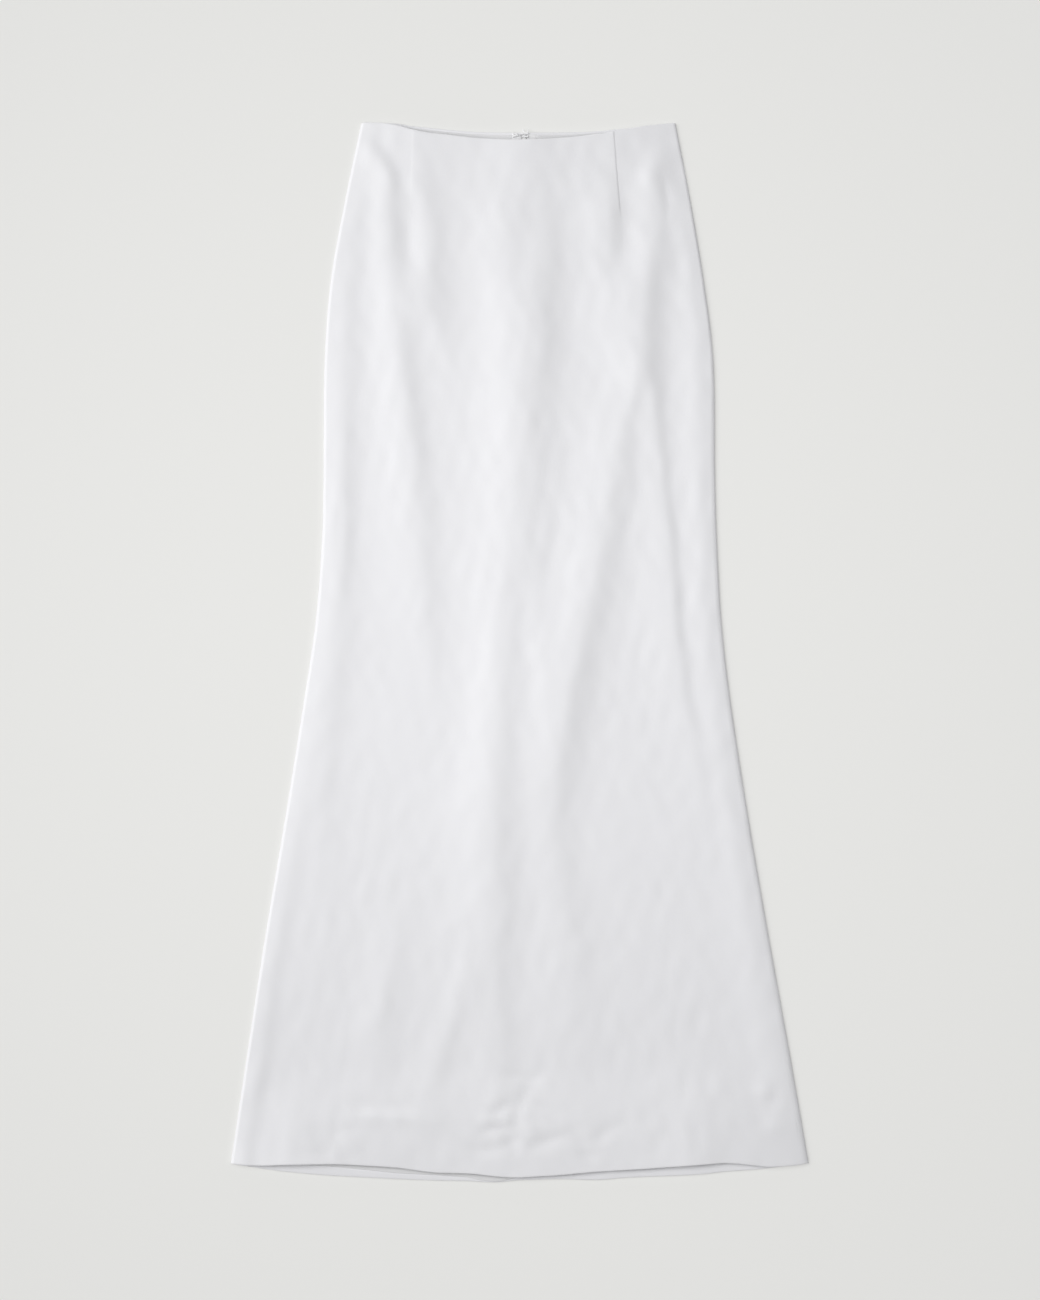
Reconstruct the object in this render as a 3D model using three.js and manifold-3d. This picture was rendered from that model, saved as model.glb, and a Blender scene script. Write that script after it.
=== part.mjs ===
// A floor-length fishtail skirt in heavy white satin, laid flat on its back with the front upwards.
// Millimetres. X runs across the skirt, Y up its length to the waist, Z up from the surface under it.
// Inside this file a place on the skirt is (x, down): down is the distance from the waist corners
// towards the hem. The finished group puts the origin under the middle of the skirt.
import * as THREE from "three";
import { mergeVertices } from "three/addons/utils/BufferGeometryUtils.js";
import Module from "manifold-3d";

const manifold = await Module();
manifold.setup();

// ---- Driving dimensions ------------------------------------------------------------------

const LENGTH = 1163; // waist corner to hem corner, along the side
const CLOTH = 1.2; // wall of the outer cloth
const LINING_CLOTH = 1.0; // wall of the facings and the zip tapes
const GAP = 0.3; // air between two pieces that are sewn or lie together
const FACING_DEPTH = 40;
const HEM_DEPTH = 48;
const SIDE_ROLL = 14; // how far in from the side the front cloth bends down to the seam

const WAIST_STACK = 3.1; // room under the front where two facings lie between the panels
const BODY_STACK = 1.5; // room under the front where nothing lies between them
const BODY_TOP = 110; // the facings' thickness has faded out by here
const BODY_BOTTOM = 1050; // and the hem facings' thickness starts here

const CENTRE_BACK = 5; // the centre back seam lies this far to the right of the middle
const ZIP_TOP = 26;
const ZIP_LENGTH = 180;
const CHAIN = { half: 2.4, height: 1.8 };
const TAPE = { inner: 3.4, width: 10 };
const SLIDER = { down: 21.5, length: 8, half: 3, height: 2, neck: 0.9, bridge: 5.5 };
const PULL = { width: 5.4, length: 20, thick: 1, pin: 0.5, hole: 0.85, axisUp: 1.8 };
const WIRE = 0.8; // hook and eye
const HOOK_ASIDE = -4.5; // where they meet, from the centre back
const HUMP = { down: 33, height: 3.2, across: 28, along: 30 }; // the back rises over the pull tab

// Half widths of the laid-out skirt at distances down the side.
const OUTLINE = [
  { down: 0, left: 177, right: 174 },
  { down: 86, left: 195, right: 190.5 },
  { down: 175, left: 211, right: 205.5 },
  { down: 265, left: 218, right: 216.5 },
  { down: 399, left: 219.5, right: 218.5 },
  { down: 466, left: 221, right: 220.5 },
  { down: 556, left: 228, right: 225.5 },
  { down: 645, left: 241, right: 235.5 },
  { down: 779, left: 262.5, right: 256 },
  { down: 913, left: 285, right: 279 },
  { down: 1047, left: 305.5, right: 303 },
  { down: LENGTH, left: 323, right: 323 },
];

// How far the back shows beyond the front along the right side, where the seam rolls forward.
const BACK_SHOWS = [
  { down: 200, by: 0.3 },
  { down: 420, by: 3 },
  { down: 900, by: 4 },
  { down: LENGTH, by: 6 },
];

// The waist edges dip below the waist corners, the front's more than the back's.
const WAIST_EDGE = [
  { x: -177, front: 0, back: 0 },
  { x: -152, front: 1.2, back: 0.3 },
  { x: -122, front: 7.8, back: 3.4 },
  { x: -78, front: 14.3, back: 8 },
  { x: -40, front: 17.8, back: 10.6 },
  { x: 0, front: 19, back: 11.4 },
  { x: 56, front: 16.2, back: 10.6 },
  { x: 95, front: 11.8, back: 8.4 },
  { x: 134, front: 4.6, back: 4.3 },
  { x: 174, front: 0, back: 0 },
];

// The hem edges, measured down from the waist corners.
const HEM_EDGE = [
  { x: -323, front: LENGTH, back: LENGTH + 0.5 },
  { x: -257, front: 1163.2, back: 1172.5 },
  { x: -209, front: 1162.8, back: 1176.5 },
  { x: -140, front: 1166.5, back: 1180 },
  { x: -95, front: 1172, back: 1181.8 },
  { x: -28, front: 1176.4, back: 1184 },
  { x: 22, front: 1176.2, back: 1180.6 },
  { x: 82, front: 1171.8, back: 1181.2 },
  { x: 137, front: 1168.2, back: 1178 },
  { x: 230, front: 1161.6, back: 1171.8 },
  { x: 278, front: 1166, back: 1168.4 },
  { x: 323, front: LENGTH, back: LENGTH },
];

// The lower edge of the back's hem facing, which shows below the front at the left.
const BACK_HEM_FACING_EDGE = [
  { x: -323, down: 1158 },
  { x: -209, down: 1166 },
  { x: -140, down: 1173 },
  { x: -60, down: 1177.5 },
  { x: -28, down: 1182.2 },
  { x: 20, down: 1172 },
  { x: 323, down: 1158 },
];

// The front's long soft folds. A row gives the crest's place x, its height, and how far the fold
// reaches to its left and right, at one distance down. Names are those of the folds.
const FOLDS = {
  left_edge: [
    { down: 40, x: -176, height: 0.6, left: 40, right: 11 },
    { down: 198, x: -198, height: 3, left: 40, right: 13 },
    { down: 466, x: -203, height: 3, left: 40, right: 14 },
    { down: 645, x: -218, height: 3, left: 40, right: 18 },
    { down: 824, x: -246, height: 2.2, left: 40, right: 22 },
    { down: 1003, x: -284, height: 3.6, left: 40, right: 14 },
    { down: 1126, x: -308, height: 3.4, left: 40, right: 12 },
  ],
  left_hip: [
    { down: 20, x: -171, height: 0, left: 12, right: 10 },
    { down: 64, x: -148, height: 3.2, left: 16, right: 10 },
    { down: 131, x: -146, height: 4.4, left: 15, right: 10 },
    { down: 243, x: -136, height: 4.4, left: 17, right: 12 },
    { down: 377, x: -123, height: 4.2, left: 25, right: 15 },
    { down: 511, x: -111, height: 3, left: 28, right: 16 },
    { down: 645, x: -95, height: 1.4, left: 26, right: 16 },
    { down: 740, x: -84, height: 0, left: 24, right: 16 },
  ],
  left_dart: [
    { down: 30, x: -104, height: 0, left: 9, right: 14 },
    { down: 97, x: -106, height: 3, left: 9, right: 14 },
    { down: 175, x: -104, height: 2.8, left: 9, right: 16 },
    { down: 250, x: -104, height: 0, left: 10, right: 18 },
  ],
  centre: [
    { down: 30, x: -16, height: 0, left: 24, right: 24 },
    { down: 131, x: 0, height: 3, left: 26, right: 26 },
    { down: 198, x: 9, height: 4.4, left: 30, right: 24 },
    { down: 300, x: -1, height: 4.6, left: 27, right: 28 },
    { down: 421, x: -6, height: 4.4, left: 24, right: 25 },
    { down: 511, x: -14, height: 4.4, left: 23, right: 20 },
    { down: 645, x: -24, height: 4.6, left: 22, right: 12 },
    { down: 779, x: -34, height: 4.2, left: 20, right: 13 },
    { down: 913, x: -30, height: 3, left: 24, right: 15 },
    { down: 1047, x: -23, height: 1.8, left: 20, right: 16 },
    { down: 1140, x: -30, height: 0.6, left: 16, right: 16 },
  ],
  right_dart: [
    { down: 20, x: 98, height: 0, left: 16, right: 8 },
    { down: 97, x: 97, height: 2.8, left: 18, right: 8 },
    { down: 160, x: 99, height: 2.4, left: 18, right: 9 },
    { down: 230, x: 100, height: 0, left: 20, right: 12 },
  ],
  right_hip: [
    { down: 30, x: 152, height: 0.6, left: 14, right: 10 },
    { down: 97, x: 152, height: 3.2, left: 16, right: 12 },
    { down: 198, x: 138, height: 4.4, left: 26, right: 15 },
    { down: 300, x: 137, height: 4.2, left: 26, right: 18 },
    { down: 377, x: 149, height: 2.8, left: 14, right: 11 },
    { down: 511, x: 169, height: 2.2, left: 13, right: 9 },
    { down: 690, x: 180, height: 1.3, left: 12, right: 9 },
    { down: 869, x: 187, height: 0, left: 12, right: 10 },
  ],
  diagonal: [
    { down: 230, x: 134, height: 0, left: 22, right: 14 },
    { down: 310, x: 124, height: 2.6, left: 20, right: 13 },
    { down: 377, x: 111, height: 3.4, left: 16, right: 13 },
    { down: 556, x: 71, height: 4, left: 14, right: 16 },
    { down: 690, x: 42, height: 4.6, left: 10, right: 18 },
    { down: 779, x: 35, height: 3.6, left: 10, right: 17 },
    { down: 913, x: 43, height: 1.8, left: 12, right: 17 },
    { down: 1010, x: 47, height: 0, left: 12, right: 16 },
  ],
  right_edge: [
    { down: 60, x: 182, height: 0, left: 14, right: 40 },
    { down: 243, x: 203, height: 2.6, left: 16, right: 40 },
    { down: 421, x: 205, height: 2.8, left: 16, right: 40 },
    { down: 600, x: 213, height: 2.8, left: 15, right: 40 },
    { down: 779, x: 243, height: 2.4, left: 18, right: 40 },
    { down: 958, x: 270, height: 2.2, left: 18, right: 40 },
    { down: 1126, x: 303, height: 2, left: 16, right: 40 },
  ],
  over_zip: [
    { down: 0, x: CENTRE_BACK, height: 1.3, left: 16, right: 16 },
    { down: 215, x: CENTRE_BACK, height: 1.3, left: 16, right: 16 },
    { down: 300, x: CENTRE_BACK, height: 0, left: 16, right: 16 },
  ],
  hem_left: [
    { down: 869, x: -136, height: 0, left: 14, right: 12 },
    { down: 1003, x: -157, height: 1.6, left: 14, right: 12 },
    { down: 1110, x: -164, height: 1.2, left: 16, right: 14 },
    { down: LENGTH, x: -172, height: 1, left: 24, right: 20 },
  ],
  hem_right: [
    { down: 1030, x: 196, height: 0, left: 24, right: 20 },
    { down: 1126, x: 196, height: 1.6, left: 26, right: 20 },
    { down: LENGTH, x: 190, height: 2, left: 28, right: 22 },
  ],
};

// ---- Curves and heights ------------------------------------------------------------------

// A smooth curve through a table: the value of `column` where `key` is `at`, held flat past the ends.
function through(table, key, column, at) {
  const last = table.length - 1;
  if (at <= table[0][key]) return table[0][column];
  if (at >= table[last][key]) return table[last][column];
  let i = 0;
  while (at > table[i + 1][key]) i += 1;
  const slope = (a, b) => (table[b][column] - table[a][column]) / (table[b][key] - table[a][key]);
  const start = slope(Math.max(i - 1, 0), i + 1);
  const end = slope(i, Math.min(i + 2, last));
  const span = table[i + 1][key] - table[i][key];
  const t = (at - table[i][key]) / span;
  const rise = t * t * (3 - 2 * t);
  return (
    table[i][column] * (1 - rise) +
    table[i + 1][column] * rise +
    span * (start * t * (1 - t) ** 2 - end * t * t * (1 - t))
  );
}

const eased = THREE.MathUtils.smoothstep;

function halfWidth(side, down) {
  return through(OUTLINE, "down", side < 0 ? "left" : "right", down);
}

// How far the front cloth reaches to each side.
function frontHalfWidth(side, down) {
  const shows = side > 0 ? through(BACK_SHOWS, "down", "by", down) : 0;
  return halfWidth(side, down) - shows;
}

function foldHeight(fold, x, down) {
  const height = through(fold, "down", "height", down);
  if (height <= 0) return 0;
  const away = x - through(fold, "down", "x", down);
  const reach = through(fold, "down", away < 0 ? "left" : "right", down);
  return height * Math.exp(-0.5 * (away / reach) ** 2);
}

// The underside of the back panel: flat on the surface, but for the hump over the pull tab.
function backUnder(x, down) {
  const across = (x - CENTRE_BACK) / HUMP.across;
  const along = (down - HUMP.down) / HUMP.along;
  const height = HUMP.height * Math.exp(-0.5 * (across ** 2 + along ** 2));
  return height < 0.02 ? 0 : height;
}

const backTop = (x, down) => backUnder(x, down) + CLOTH;

// The underside of the front panel: over the back, over what lies between, and up into the folds.
// At each side it rolls down to the seam.
function frontUnder(x, down) {
  const nearWaist = 1 - eased(down, BODY_TOP / 2, BODY_TOP);
  const nearHem = eased(down, BODY_BOTTOM, LENGTH - HEM_DEPTH);
  const stack = BODY_STACK + (WAIST_STACK - BODY_STACK) * Math.max(nearWaist, nearHem);
  const folds = Object.values(FOLDS).reduce((sum, fold) => sum + foldHeight(fold, x, down), 0);
  const inside = Math.max(frontHalfWidth(x, down) - Math.abs(x), 0);
  const roll = Math.sqrt(1 - (1 - Math.min(inside / SIDE_ROLL, 1)) ** 2);
  return backTop(x, down) + GAP + (stack + folds - GAP) * roll;
}

// ---- Cloth -------------------------------------------------------------------------------

const mix = THREE.MathUtils.lerp;

// A panel is a grid of points on its underside. Other pieces are cut from the same points and
// moved up or down, so that they lie along the panel.
function panel(columns, rows, at) {
  return rows.map((v) => columns.map((column) => at(column, v)));
}

// The point at a column and row, which may lie between the panel's own.
function pointOn(points, column, row) {
  const [i, j] = [Math.floor(column), Math.floor(row)];
  const [right, below] = [Math.ceil(column), Math.ceil(row)];
  return points[j][i].map((_, axis) => mix(
    mix(points[j][i][axis], points[j][right][axis], column - i),
    mix(points[below][i][axis], points[below][right][axis], column - i),
    row - j,
  ));
}

// From one place on a grid to another, stopping at every whole number on the way.
function stops(from, to) {
  const way = [from];
  for (let next = Math.floor(from) + 1; next < to; next += 1) way.push(next);
  return [...way, to];
}

function cutFrom(points, [left, right], [top, bottom]) {
  return stops(top, bottom).map((row) => (
    stops(left, right).map((column) => pointOn(points, column, row))
  ));
}

// A closed wall of cloth: its underside is the grid of points moved up by `rise`.
function clothWall(points, rise, thick) {
  const rows = points.length - 1;
  const across = points[0].length;
  const columns = across - 1;
  const layer = across * (rows + 1);
  const positions = [];
  for (const level of [rise, rise + thick]) {
    for (const [x, down, under] of points.flat()) positions.push(x, -down, under + level);
  }
  const index = [];
  const quad = (a, b, c, d) => index.push(a, b, c, a, c, d);
  const bottom = (i, j) => j * across + i;
  const top = (i, j) => layer + bottom(i, j);
  for (let j = 0; j < rows; j += 1) {
    for (let i = 0; i < columns; i += 1) {
      quad(top(i, j), top(i, j + 1), top(i + 1, j + 1), top(i + 1, j));
      quad(bottom(i, j), bottom(i + 1, j), bottom(i + 1, j + 1), bottom(i, j + 1));
    }
    quad(bottom(0, j), bottom(0, j + 1), top(0, j + 1), top(0, j));
    quad(bottom(columns, j), top(columns, j), top(columns, j + 1), bottom(columns, j + 1));
  }
  for (let i = 0; i < columns; i += 1) {
    quad(bottom(i, 0), top(i, 0), top(i + 1, 0), bottom(i + 1, 0));
    quad(bottom(i, rows), bottom(i + 1, rows), top(i + 1, rows), top(i, rows));
  }
  const geometry = new THREE.BufferGeometry();
  geometry.setAttribute("position", new THREE.Float32BufferAttribute(positions, 3));
  geometry.setIndex(index);
  geometry.computeVertexNormals();
  return geometry;
}

// Where a panel's column, given by its x at any distance down, meets a row.
function onColumn(side, columnX, v) {
  const waist = through(WAIST_EDGE, "x", side, columnX(0));
  const hem = through(HEM_EDGE, "x", side, columnX(LENGTH));
  const down = mix(waist, hem, v);
  return [columnX(down), down];
}

const upTo = (count) => Array.from({ length: count + 1 }, (_, i) => i);
const asShares = (downs) => downs.map((down) => down / LENGTH);
const hemRows = [LENGTH - HEM_DEPTH, LENGTH - HEM_DEPTH / 2, LENGTH];

// The front's columns are closer together at the sides, where the cloth rolls over.
const FRONT_COLUMNS = 32;
const frontRows = asShares([
  0, 13, 26, FACING_DEPTH, 60, 85, 110, 135, 160, ...upTo(30).map((i) => 190 + 30 * i), ...hemRows,
]);
const front = panel(upTo(FRONT_COLUMNS), frontRows, (column, v) => {
  const t = (2 * column) / FRONT_COLUMNS - 1;
  const share = t * (1.25 - 0.25 * t * t);
  const [x, down] = onColumn("front", (at) => share * frontHalfWidth(share, at), v);
  return [x, down, frontUnder(x, down)];
});

function frontInside(margin, [from, to]) {
  const strip = cutFrom(front, [margin, FRONT_COLUMNS - margin], [from, to]);
  return clothWall(strip, -GAP - LINING_CLOTH, LINING_CLOTH);
}

// The two centre back edges close up in the seam, and part above the zip's slider.
function centreBackEdge(down) {
  const parted = 1 - eased(down, 11, 36);
  return GAP / 2 + 1.85 * parted;
}

// Each back's first columns follow the zip tape. The others share out what is left of its width.
const BACK_SHARES = [0, 0.1, 0.22, 0.36, 0.52, 0.68, 0.84, 1];
const BACK_COLUMNS = BACK_SHARES.length + 1;
const backRows = asShares([
  0, 10, 20, 30, FACING_DEPTH, 52, 66, 84, 106, 140, 170, 195, ...upTo(13).map((i) => 250 + 62 * i),
  ...hemRows,
]);
const backRow = (down) => backRows.findIndex((share) => share * LENGTH > down - 1);

function backHalf(side) {
  const points = panel(upTo(BACK_COLUMNS), backRows, (number, v) => {
    const column = side < 0 ? BACK_COLUMNS - number : number;
    const tapeEdge = TAPE.inner + TAPE.width;
    const columnX = (at) => {
      if (column === 0) return CENTRE_BACK + side * centreBackEdge(at);
      if (column === 1) return CENTRE_BACK + side * TAPE.inner;
      const reach = halfWidth(side, at) - side * CENTRE_BACK;
      return CENTRE_BACK + side * mix(tapeEdge, reach, BACK_SHARES[column - 2]);
    };
    const [x, down] = onColumn("back", columnX, v);
    return [x, down, backUnder(x, down)];
  });
  // A strip of this back between two columns counted from the centre, and two rows.
  const strip = (near, far, from, to) => {
    const columns = side < 0 ? [BACK_COLUMNS - far, BACK_COLUMNS - near] : [near, far];
    return cutFrom(points, columns, [from, to]);
  };
  return { points, strip };
}

const back = { right: backHalf(-1), left: backHalf(1) };

function layOnBack(hand, columns, rows, thick = LINING_CLOTH) {
  return clothWall(back[hand].strip(...columns, ...rows), CLOTH + GAP, thick);
}

// The back's hem facing ends below in its own wavy edge, which shows under the front.
function backHemFacing(hand) {
  const lastRow = backRows.length - 1;
  const strip = back[hand].strip(0, BACK_COLUMNS - 0.5, lastRow - 2, lastRow);
  const shaped = strip.map((row, j) => row.map(([x, , under]) => {
    const edge = through(BACK_HEM_FACING_EDGE, "x", "down", x);
    return [x, edge - (1 - j / 2) * HEM_DEPTH, under];
  }));
  return clothWall(shaped, CLOTH + GAP, LINING_CLOTH);
}

// ---- Zip, hook and eye -------------------------------------------------------------------

// Down the centre back, on the inside of the seam, from one distance down to another.
function downTheSeam(from, to, half, height) {
  const steps = Math.max(1, Math.round((to - from) / 10));
  const points = upTo(steps).map((step) => {
    const down = mix(from, to, step / steps);
    return [-half, 0, half].map((x) => [CENTRE_BACK + x, down, backUnder(CENTRE_BACK, down)]);
  });
  return clothWall(points, CLOTH + GAP, height);
}

function solidOf(geometry) {
  const bare = geometry.clone();
  bare.deleteAttribute("normal");
  bare.deleteAttribute("uv");
  const merged = mergeVertices(bare, 1e-4);
  const vertProperties = new Float32Array(merged.attributes.position.array);
  const triVerts = new Uint32Array(merged.index.array);
  return new manifold.Manifold(new manifold.Mesh({ numProp: 3, vertProperties, triVerts }));
}

function geometryOf(solid) {
  const mesh = solid.getMesh();
  const geometry = new THREE.BufferGeometry();
  geometry.setAttribute("position", new THREE.BufferAttribute(mesh.vertProperties, 3));
  geometry.setIndex(new THREE.BufferAttribute(mesh.triVerts, 1));
  geometry.computeVertexNormals();
  return geometry;
}

function box(x, y, z, width, depth, height) {
  return new THREE.BoxGeometry(width, depth, height).translate(x, y, z);
}

const sliderFloor = backTop(CENTRE_BACK, SLIDER.down) + GAP;

// The slider's body lies on the inside. Its neck goes down between the two back edges to an eye on
// the outside, and the pull's pin turns in that eye.
function zipSlider() {
  const y = -SLIDER.down;
  const body = new THREE.Shape();
  const [half, tip, long] = [SLIDER.half, SLIDER.half * 0.6, SLIDER.length / 2];
  body.moveTo(-tip, -long);
  body.lineTo(tip, -long);
  body.lineTo(half, -long * 0.2);
  body.quadraticCurveTo(half, long, 0, long);
  body.quadraticCurveTo(-half, long, -half, -long * 0.2);
  body.closePath();
  const plate = new THREE.ExtrudeGeometry(body, {
    depth: SLIDER.height, bevelEnabled: false, curveSegments: 6,
  }).translate(CENTRE_BACK, y, sliderFloor);
  const eyeLow = PULL.axisUp - PULL.hole - 0.5;
  const neckTop = sliderFloor + 0.4;
  const neck = box(
    CENTRE_BACK, y, (eyeLow + neckTop) / 2, SLIDER.neck, SLIDER.bridge, neckTop - eyeLow,
  );
  const hole = new THREE.CylinderGeometry(PULL.hole, PULL.hole, SLIDER.neck * 3, 16)
    .rotateZ(Math.PI / 2)
    .translate(CENTRE_BACK, y, PULL.axisUp);
  return geometryOf(solidOf(plate).add(solidOf(neck)).subtract(solidOf(hole)));
}

// A flat drop-shaped pull, with a slot for the slider's eye and a round pin across the slot's end.
function zipPull() {
  const [half, long, thick] = [PULL.width / 2, PULL.length, PULL.thick];
  const slotHalf = SLIDER.neck / 2 + 0.35;
  const slotLong = SLIDER.bridge / 2 + 0.5;
  const neckHalf = slotHalf + 0.9;
  const drop = new THREE.Shape();
  drop.moveTo(-neckHalf, PULL.pin);
  drop.lineTo(neckHalf, PULL.pin);
  drop.lineTo(neckHalf, -slotLong);
  drop.bezierCurveTo(neckHalf, -long * 0.5, half, -long * 0.6, half, half - long);
  drop.absarc(0, half - long, half, 0, -Math.PI, true);
  drop.bezierCurveTo(-half, -long * 0.6, -neckHalf, -long * 0.5, -neckHalf, -slotLong);
  drop.closePath();
  const plate = new THREE.ExtrudeGeometry(drop, {
    depth: thick, bevelEnabled: false, curveSegments: 8,
  }).translate(0, 0, -thick / 2);
  const slot = box(0, 0.5 - slotLong / 2, 0, 2 * slotHalf, slotLong + 3, 4 * thick);
  const pin = new THREE.CylinderGeometry(PULL.pin, PULL.pin, 2 * neckHalf, 12).rotateZ(Math.PI / 2);
  return geometryOf(solidOf(plate).subtract(solidOf(slot)).add(solidOf(pin)));
}

function wire(points) {
  const route = new THREE.CatmullRomCurve3(points.map((p) => new THREE.Vector3(...p)));
  const section = new THREE.Shape().absarc(0, 0, WIRE / 2, 0, 2 * Math.PI, false);
  return new THREE.ExtrudeGeometry(section, {
    extrudePath: route, steps: 20, curveSegments: 4, bevelEnabled: false,
  });
}

// The eye reaches across the centre back, and the hook's bill passes over its closed end.
function hook() {
  return wire([
    [-8, 1.9, 0], [-5.4, 1.3, 0], [-3, 0.8, 0.2], [-0.8, 0.8, 1.2], [1, 0.7, 1.4],
    [1.9, 0, 1.3],
    [1, -0.7, 1.4], [-0.8, -0.8, 1.2], [-3, -0.8, 0.2], [-5.4, -1.3, 0], [-8, -1.9, 0],
  ]);
}

function eye() {
  return wire([
    [11.5, 2.2, 0], [7, 2, 0], [2.4, 1.7, 0], [0.7, 1, 0],
    [0.2, 0, 0],
    [0.7, -1, 0], [2.4, -1.7, 0], [7, -2, 0], [11.5, -2.2, 0],
  ]);
}

// ---- The skirt ---------------------------------------------------------------------------

const satin = new THREE.MeshStandardMaterial({ color: 0xf4f4f6, roughness: 0.48, metalness: 0 });
const satinBack = new THREE.MeshStandardMaterial({ color: 0xeeeeec, roughness: 0.7, metalness: 0 });
const tapeCloth = new THREE.MeshStandardMaterial({ color: 0xf0f0f0, roughness: 0.8, metalness: 0 });
const coil = new THREE.MeshStandardMaterial({ color: 0xf0f0ee, roughness: 0.4, metalness: 0 });
const painted = new THREE.MeshStandardMaterial({ color: 0xf0f0ee, roughness: 0.3, metalness: 0 });
const steel = new THREE.MeshStandardMaterial({ color: 0xb8b8ba, roughness: 0.3, metalness: 1 });

const skirt = new THREE.Group();

function sew(name, geometry, material, x = 0, y = 0, z = 0) {
  const mesh = new THREE.Mesh(geometry, material);
  mesh.name = name;
  mesh.position.set(x, y, z);
  skirt.add(mesh);
}

sew("front_panel", clothWall(front, 0, CLOTH), satin);
sew("front_waist_facing", frontInside(1.9, [0.05, 3]), satinBack);
sew("front_hem_facing", frontInside(1.2, [frontRows.length - 3, frontRows.length - 1.05]), satinBack);
const tapeColumns = [1, 2];
const tapeRows = [0, backRow(ZIP_TOP + ZIP_LENGTH)];
const facingColumns = [2.02, BACK_COLUMNS - 0.6];
const facingRows = [0.06, backRow(FACING_DEPTH)];
for (const hand of ["right", "left"]) {
  sew(`back_panel_${hand}`, clothWall(back[hand].points, 0, CLOTH), satin);
  sew(`back_waist_facing_${hand}`, layOnBack(hand, facingColumns, facingRows), satinBack);
  sew(`back_hem_facing_${hand}`, backHemFacing(hand), satinBack);
  sew(`zip_tape_${hand}`, layOnBack(hand, tapeColumns, tapeRows), tapeCloth);
}

const zipBottom = ZIP_TOP + ZIP_LENGTH;
sew("zip_chain", downTheSeam(ZIP_TOP, zipBottom, CHAIN.half, CHAIN.height), coil);
sew("zip_bottom_stop", downTheSeam(zipBottom + GAP, zipBottom + 3.5, CHAIN.half + 0.4, 2), painted);
sew("zip_slider", zipSlider(), painted);
sew("zip_pull_tab", zipPull(), painted, CENTRE_BACK, -SLIDER.down, PULL.axisUp);

const hookDown = 14.4;
const onTape = backTop(CENTRE_BACK, hookDown) + 2 * GAP + LINING_CLOTH + WIRE / 2;
sew("waist_hook", hook(), steel, CENTRE_BACK + HOOK_ASIDE, -hookDown, onTape);
sew("waist_eye", eye(), steel, CENTRE_BACK + HOOK_ASIDE, -hookDown, onTape);

// The origin goes under the middle of the laid-out skirt.
const footprint = new THREE.Box3().setFromObject(skirt);
const middle = footprint.getCenter(new THREE.Vector3());
skirt.position.set(-middle.x, -middle.y, 0);

export default skirt;
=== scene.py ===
"""The looks of a floor-length fishtail skirt in heavy white satin, laid flat on its back.

A place on the skirt is (x, down) in millimetres: x across, and down from the waist corners to the hem.
Heights above the surface are millimetres too. Everything is put into the frame in metres at the end.
In the names of pieces left and right are the wearer's, so the right back is at x below 0. Everywhere
else they are as seen from above, so x grows to the right.
"""
import math

import bpy
import numpy as np
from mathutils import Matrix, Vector


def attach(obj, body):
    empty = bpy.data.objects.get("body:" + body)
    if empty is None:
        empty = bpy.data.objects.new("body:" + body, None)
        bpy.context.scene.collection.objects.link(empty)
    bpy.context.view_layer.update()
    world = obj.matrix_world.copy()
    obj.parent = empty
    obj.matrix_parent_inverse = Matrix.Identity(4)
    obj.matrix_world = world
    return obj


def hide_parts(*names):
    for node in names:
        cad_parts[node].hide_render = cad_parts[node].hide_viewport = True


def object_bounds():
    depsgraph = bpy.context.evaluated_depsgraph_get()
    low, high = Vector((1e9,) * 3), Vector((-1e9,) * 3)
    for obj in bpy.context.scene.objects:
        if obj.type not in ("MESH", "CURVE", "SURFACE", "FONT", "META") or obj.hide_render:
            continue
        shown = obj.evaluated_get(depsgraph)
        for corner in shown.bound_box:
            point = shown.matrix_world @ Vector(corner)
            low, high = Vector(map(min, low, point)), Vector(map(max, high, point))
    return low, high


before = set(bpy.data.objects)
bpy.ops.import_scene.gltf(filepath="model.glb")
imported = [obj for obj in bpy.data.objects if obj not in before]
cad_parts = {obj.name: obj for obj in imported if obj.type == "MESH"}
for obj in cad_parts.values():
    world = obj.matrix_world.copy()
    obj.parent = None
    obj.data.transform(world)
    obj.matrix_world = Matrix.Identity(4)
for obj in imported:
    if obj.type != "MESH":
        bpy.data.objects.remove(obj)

CAD_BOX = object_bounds()

# ---- Sizes of the skirt ----

MM = 0.001
WAIST_Y = CAD_BOX[1].y / MM  # the waist corners, in millimetres up the frame
LENGTH = 1163.0  # from the waist corners down to the hem's corners
CLOTH = 0.9  # satin crepe with its seam allowances
BACK_CLOTH = 0.88 * CLOTH
FACING_CLOTH = 0.8
CAD_CLOTH = 1.2  # how thick the CAD's front and backs are
WAIST_STACK = 3.1  # the facings and the air between the layers, at the waist
BODY_STACK = 1.5
HEM_STACK = 4.3
WAIST_STACK_ENDS = (55, 110)  # how far down the waist's stack starts and ends its fall
HEM_STACK_START = 1050
WAIST_STACK_INSIDE = 50  # how far in from the sides the stack is whole
HEM_STACK_INSIDE = 80
FACING_DEPTH = 40.0
HEM_DEPTH = 48.0
SIDE_ROLL = 4.0  # how wide the front rolls over at the left side
EDGE_PRESS_LEFT = {"share": 0.32, "reach": 12.0}  # the height that is pressed out at the sides
EDGE_PRESS_RIGHT = {"share": 0.34, "reach": 12.0}
EDGE_SETTLE = 0.12  # how much lower the two cloths themselves lie where they are pressed
EDGE_UP = 1.35  # the side edges are this high where they reach furthest out
SEAM_AIR = 0.12
FRONT_ROUNDING = 1.15  # the radius of the folds at the waist and the hem
BACK_ROUNDING = 0.95
ROLLED_TIGHT = 0.35  # the share of that radius left where the cloth also rolls over at a side
FRONT_TURN_IN = 3.2  # how far the front's edges go back inside
BACK_TURN_IN = 1.7
FACING_BELOW = 2.05  # the front's facings hang this far below its top
FACING_AIR = 5.2  # and this far from its waist and hem
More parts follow.
